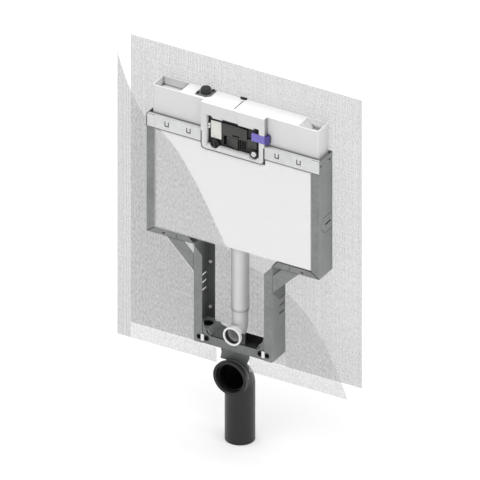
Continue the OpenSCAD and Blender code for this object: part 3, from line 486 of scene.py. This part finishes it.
# The waste socket's bore, painted dark as shade
WASTE_BORE_SHADE = (-0.1, 0.0472)
SPECIAL = {
    "channel_left": galvanised(
        "channel_steel", STEEL_GREY, inside=CHANNEL_HOLLOW_SHADE, seam=MITRE),
    "wc_beam": galvanised("beam_steel", shade(STEEL_GREY, 0.82), inside=BEAM_HOLLOW_SHADE),
    # The brace's faces behind its front sheet are painted darker, as shade
    "brace_left": galvanised(
        "brace_steel", STEEL_GREY, patches=[(0.85, ("Y", FRONT_SHEET, 0.08))]),
    "waste_bracket": moulded("bracket_steel", (0.145, 0.15, 0.15), **PAINTED_SKIN),
    # A darker copy of the painted steel, painted shade on the elbow bracket in the beam's opening
    "elbow_bracket": moulded("elbow_steel", (0.07, 0.072, 0.072), **PAINTED_SKIN),
    "waste_bend": moulded(
        "waste_pipe", WASTE_BLACK, **WASTE_SKIN, socket=WASTE_BORE_SHADE,
        patches=[(0.4, ("Y", -0.0195, -0.0186))]),
    # A black band on the bend just behind its collar, painted shade
    "flush_bend": moulded(
        "bend_plastic", PIPE_GREY, **PIPE_SKIN, patches=[(0.1, ("Y", 0.0039, 0.0100))]),
    "tank_body": moulded(
        "tank_shell", (0.765, 0.765, 0.765), **TANK_SKIN, reach=0.009, crease=0.12,
        patches=TANK_PATCHES),
    "foot_plate_left": galvanised("foot_steel", (0.36, 0.37, 0.37)),
    "wall_bolts": moulded("bolt_zinc", (0.95, 0.95, 0.94), **BOLT_SKIN),
    "inspection_box": moulded(
        "box_shell", (0.74, 0.74, 0.74), **BOX_SKIN, rim=BOX_RIM_SHADOW, crease=0.6,
        patches=BOX_PATCHES),
    "flush_sleeve": moulded(
        "sleeve_plastic", (0.76, 0.76, 0.76), **PIPE_SKIN,
        patches=[(0.3, ("Z", 0.1, 0.1108))]),
    "inlet_cap": moulded("cap_plastic", (0.045, 0.046, 0.048), **BLACK_SKIN),
}
for kind in ("channel", "foot_plate", "brace"):
    SPECIAL[f"{kind}_right"] = SPECIAL[f"{kind}_left"]

for part in frame["record"]["subparts"]:
    mesh = frame["nodes"][part["node"]].data
    mesh.materials.clear()
    mesh.materials.append(SPECIAL.get(part["node"], FINISHES[part["material_slot"]]))

# Softly broken edges on the folded and moulded pieces, by the width of the edge

EDGES = {
    0.0022: ["tank_body", "insulation_panel"],
    0.0010: ["seam_clip", "slide_grip", "lock_slide", "stud_clips", "inlet_cap"],
    0.0005: [
        "inspection_box", "channel_left", "channel_right", "brace_left", "brace_right",
        "front_rail_left", "front_rail_right", "wc_beam", "bridge_cover", "lever_full",
        "lever_part", "guard_knob", "lock_screw", "carrier_plate", "inlet_plate",
        "waste_bracket", "elbow_bracket"],
}
SHARP_ANGLE = math.radians(40)


def break_edges(piece, width):
    weld = piece.modifiers.new("weld", "WELD")
    weld.merge_threshold = 0.00001
    bevel = piece.modifiers.new("bevel", "BEVEL")
    bevel.width = width
    bevel.segments = 2
    bevel.limit_method = "ANGLE"
    bevel.angle_limit = SHARP_ANGLE
    bevel.use_clamp_overlap = True
    bevel.harden_normals = True
    flat = piece.modifiers.new("flat", "WEIGHTED_NORMAL")
    flat.weight = 80


for width, names in EDGES.items():
    for name in names:
        break_edges(frame["nodes"][name], width)


# Plaster nets, in millimetres: woven strands, cut by hand along one curve at the front.
# A pair holds the upright strands' value first and the level strands' value second.

PITCH = 3.385
STRANDS = (1.06, 0.93)
SPREADS = (0.15, 0.1)
JITTER = 0.3
CHAMFER = 0.25  # share of half a strand's width
LAYER = 0.56  # share of the net's thickness that one layer of strands takes
SHORTEST = 0.5  # bits of strand up to this length are left out

REAR_DEPTH = (78.3, 79.5)
FRONT_DEPTH = (-0.5, 0.7)
NET_X = 390
NET_LOW = -69
NET_TOP = 902
CUT_ARCS = [
    [(-392, 890), (-365, 800), (-322, 690), (-255, 662)],
    [(-255, 662), (-165, 620), (-75, 420), (-20, 326)],
    [(-20, 326), (20, 285), (110, 285), (180, 233)],
    [(180, 233), (275, 180), (345, 45), (387, -70)],
]
ARC_STEPS = 12


def bezier(points, t):
    a, b, c, d = (Vector(p) for p in points)
    u = 1 - t
    return a * u**3 + 3 * b * u * u * t + 3 * c * u * t * t + d * t**3


def spans(outline, value, axis):
    """Where the line on which coordinate axis has that value runs inside the outline."""
    cuts = []
    for p, q in zip(outline, outline[1:] + outline[:1]):
        if (p[axis] <= value) != (q[axis] <= value):
            t = (value - p[axis]) / (q[axis] - p[axis])
            cuts.append(p[1 - axis] + t * (q[1 - axis] - p[1 - axis]))
    cuts.sort()
    return list(zip(cuts[::2], cuts[1::2]))


def runs(outline, cut, value, axis):
    """Where that line runs inside both the outline and the cut."""
    found = [
        (max(a, c), min(b, d))
        for a, b in spans(outline, value, axis) for c, d in spans(cut, value, axis)]
    return [(a, b) for a, b in found if b - a > SHORTEST]


def rectangle(x0, x1, z0, z1):
    return [(x0, z0), (x1, z0), (x1, z1), (x0, z1)]


def add_bar(mesh, low, high, y0, y1):
    """A flat strand with chamfered edges, as a six-sided bar between two corners (X, Z)."""
    upright = high[1] - low[1] > high[0] - low[0]
    across = 0 if upright else 1
    a, b = low[across], high[across]
    inset = (b - a) / 2 * CHAMFER
    mid = (y0 + y1) / 2
    ring = [(a, mid), (a + inset, y0), (b - inset, y0), (b, mid), (b - inset, y1), (a + inset, y1)]
    if upright:
        ends = [[(s, y, z) for s, y in ring] for z in (low[1], high[1])]
    else:
        ends = [[(x, y, s) for s, y in ring] for x in (high[0], low[0])]
    first, last = ([mesh.verts.new(Vector(place) * MM) for place in end] for end in ends)
    for i in range(len(ring)):
        j = (i + 1) % len(ring)
        mesh.faces.new((first[i], first[j], last[j], last[i]))
    mesh.faces.new(reversed(first))
    mesh.faces.new(last)


def woven(name, finish, outlines, cut, y0, y1, seed):
    """A net inside each outline and the cut, as one piece; also its flat area in square metres."""
    chance = random.Random(seed)
    mesh = bmesh.new()
    depth = (y1 - y0) * LAYER
    area = 0
    for axis, low, high in ((0, -NET_X, NET_X), (1, NET_LOW, NET_TOP)):
        count = int((high - low) / PITCH)
        strand = STRANDS[axis]
        for i in range(count + 1):
            middle = low + strand + (high - low - 2 * strand) * i / count
            wide = strand * chance.uniform(1 - SPREADS[axis], 1 + SPREADS[axis])
            at = middle + chance.uniform(-JITTER, JITTER) * (0 < i < count)
            left, right = at - wide / 2, at + wide / 2
            for outline in outlines:
                for a, b in runs(outline, cut, middle, axis):
                    if axis == 0:
                        area += (b - a) * (high - low) / count
                        add_bar(mesh, (left, a), (right, b), y0, y0 + depth)
                    else:
                        add_bar(mesh, (a, left), (b, right), y1 - depth, y1)
    bmesh.ops.recalc_face_normals(mesh, faces=mesh.faces)
    data = bpy.data.meshes.new(name)
    mesh.to_mesh(data)
    mesh.free()
    data.materials.append(finish)
    piece = add_object(name, data)
    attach(piece, "block")
    return piece, area * MM * MM


def extent(outlines, cut, step=2):
    """Width and height of what the cut leaves of the outlines, in metres."""
    xs, zs = [], []
    for outline in outlines:
        for x in range(-NET_X, NET_X + 1, step):
            for a, b in runs(outline, cut, x, 0):
                xs.append(x)
                zs += [a, b]
    return (max(xs) - min(xs) + step) * MM, (max(zs) - min(zs)) * MM


WHOLE = rectangle(-NET_X, NET_X, NET_LOW, NET_TOP)
curve = [tuple(bezier(arc, i / ARC_STEPS)) for arc in CUT_ARCS for i in range(ARC_STEPS)]
LEFT_OF_NET = -NET_X - 1
BELOW_CUT = [
    (LEFT_OF_NET, NET_TOP), *curve, CUT_ARCS[-1][-1], (LEFT_OF_NET, CUT_ARCS[-1][-1][1])]

# The steel's edges, from which the front net is cut away: distances from the middle, heights

LEG = 132.9
POST = 291.9
BRACE = 222.9
NECK = 104.1
BAY = 264.1
FOOT_LOW = -19.4
BEAM_TOP = 70
BRACE_TOP = 301
WING_LOW = 306.6
WING_TOP = 326.4
RAIL_LOW = 661.6

# Other ends of the front net: beside the right leg, beside the flush pipe and the waste pipe

SET_BACK = 45
PIPE_STRIP = (-7, 57)
STRIP_TOP = 327
SOCKET = 55


def side_outline(x0):
    """Net beside the steel, from x0 at the leg to the net's edge, clear of the brace."""
    return [
        (x0, NET_LOW), (NET_X, NET_LOW), (NET_X, NET_TOP), (POST, NET_TOP), (POST, WING_LOW),
        (BRACE, WING_LOW), (BRACE, BRACE_TOP), (x0, BRACE_TOP - BRACE + x0)]


LEFT = [[(-x, z) for x, z in side_outline(LEG)]]
CENTRE = [
    rectangle(-BAY, BAY, WING_TOP, RAIL_LOW),
    rectangle(SET_BACK - NECK, PIPE_STRIP[0], BEAM_TOP, STRIP_TOP),
    rectangle(PIPE_STRIP[1], NECK, BEAM_TOP, STRIP_TOP)]
RIGHT = [side_outline(LEG + SET_BACK)]
LEFT_FOOT = [rectangle(-LEG, -SOCKET, NET_LOW, FOOT_LOW)]
RIGHT_FOOT = [rectangle(SOCKET, LEG + SET_BACK, NET_LOW, FOOT_LOW)]
NETS = {
    "net_rear": ([WHOLE], WHOLE, *REAR_DEPTH),
    "net_front_left": (LEFT, BELOW_CUT, *FRONT_DEPTH),
    "net_front_centre": (CENTRE, BELOW_CUT, *FRONT_DEPTH),
    "net_front_right": (RIGHT, BELOW_CUT, *FRONT_DEPTH),
    "net_foot_left": (LEFT_FOOT, BELOW_CUT, *FRONT_DEPTH),
    "net_foot_right": (RIGHT_FOOT, BELOW_CUT, *FRONT_DEPTH),
}
for seed, (node, (outlines, cut, y0, y1)) in enumerate(NETS.items()):
    finish = FINISHES["net_mesh"] if node == "net_rear" else FRONT_NET
    piece, area = woven(node.replace("net_", "woven_"), finish, outlines, cut, y0, y1, seed)
    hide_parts(node)
    size = extent(outlines, cut)


# Floor and light

FLOOR_Z = -0.3305
FLOOR_HALF = 14
FLOOR_GLOW = 0.19
SKY_STRENGTH = 0.38
LIGHT_DISTANCE = 3
WHITE = (1, 1, 1, 1)


def floor_finish():
    g = Graph("floor")
    tone = g.mix(g.noise(0.9, 2), (0.87, 0.87, 0.87), (0.89, 0.89, 0.89))
    g.bump((g.noise(0.01, 2), 0.0001))
    g.shader.inputs["Emission Color"].default_value = WHITE
    g.shader.inputs["Emission Strength"].default_value = FLOOR_GLOW
    return g.finish(tone, 0.9)


floor_mesh = bpy.data.meshes.new("floor")
corners = rectangle(-FLOOR_HALF, FLOOR_HALF, -FLOOR_HALF, FLOOR_HALF)
floor_mesh.from_pydata([(x, y, FLOOR_Z) for x, y in corners], [], [(0, 1, 2, 3)])
floor_mesh.materials.append(floor_finish())
floor = add_object("floor", floor_mesh)

world = bpy.data.worlds.new("studio")
world.use_nodes = True
background = world.node_tree.nodes["Background"]
background.inputs["Color"].default_value = WHITE
background.inputs["Strength"].default_value = SKY_STRENGTH
bpy.context.scene.world = world


def add_sun(name, azimuth, elevation, spread, strength):
    """A very soft sun, like a ceiling of diffusers."""
    data = bpy.data.lights.new(name, "SUN")
    data.angle = math.radians(spread)
    data.energy = strength
    face_part(add_object(name, data), azimuth, elevation, LIGHT_DISTANCE)


add_sun("ceiling", azimuth=-10, elevation=84, spread=80, strength=2.25)
add_sun("right_fill", azimuth=80, elevation=25, spread=60, strength=0.4)
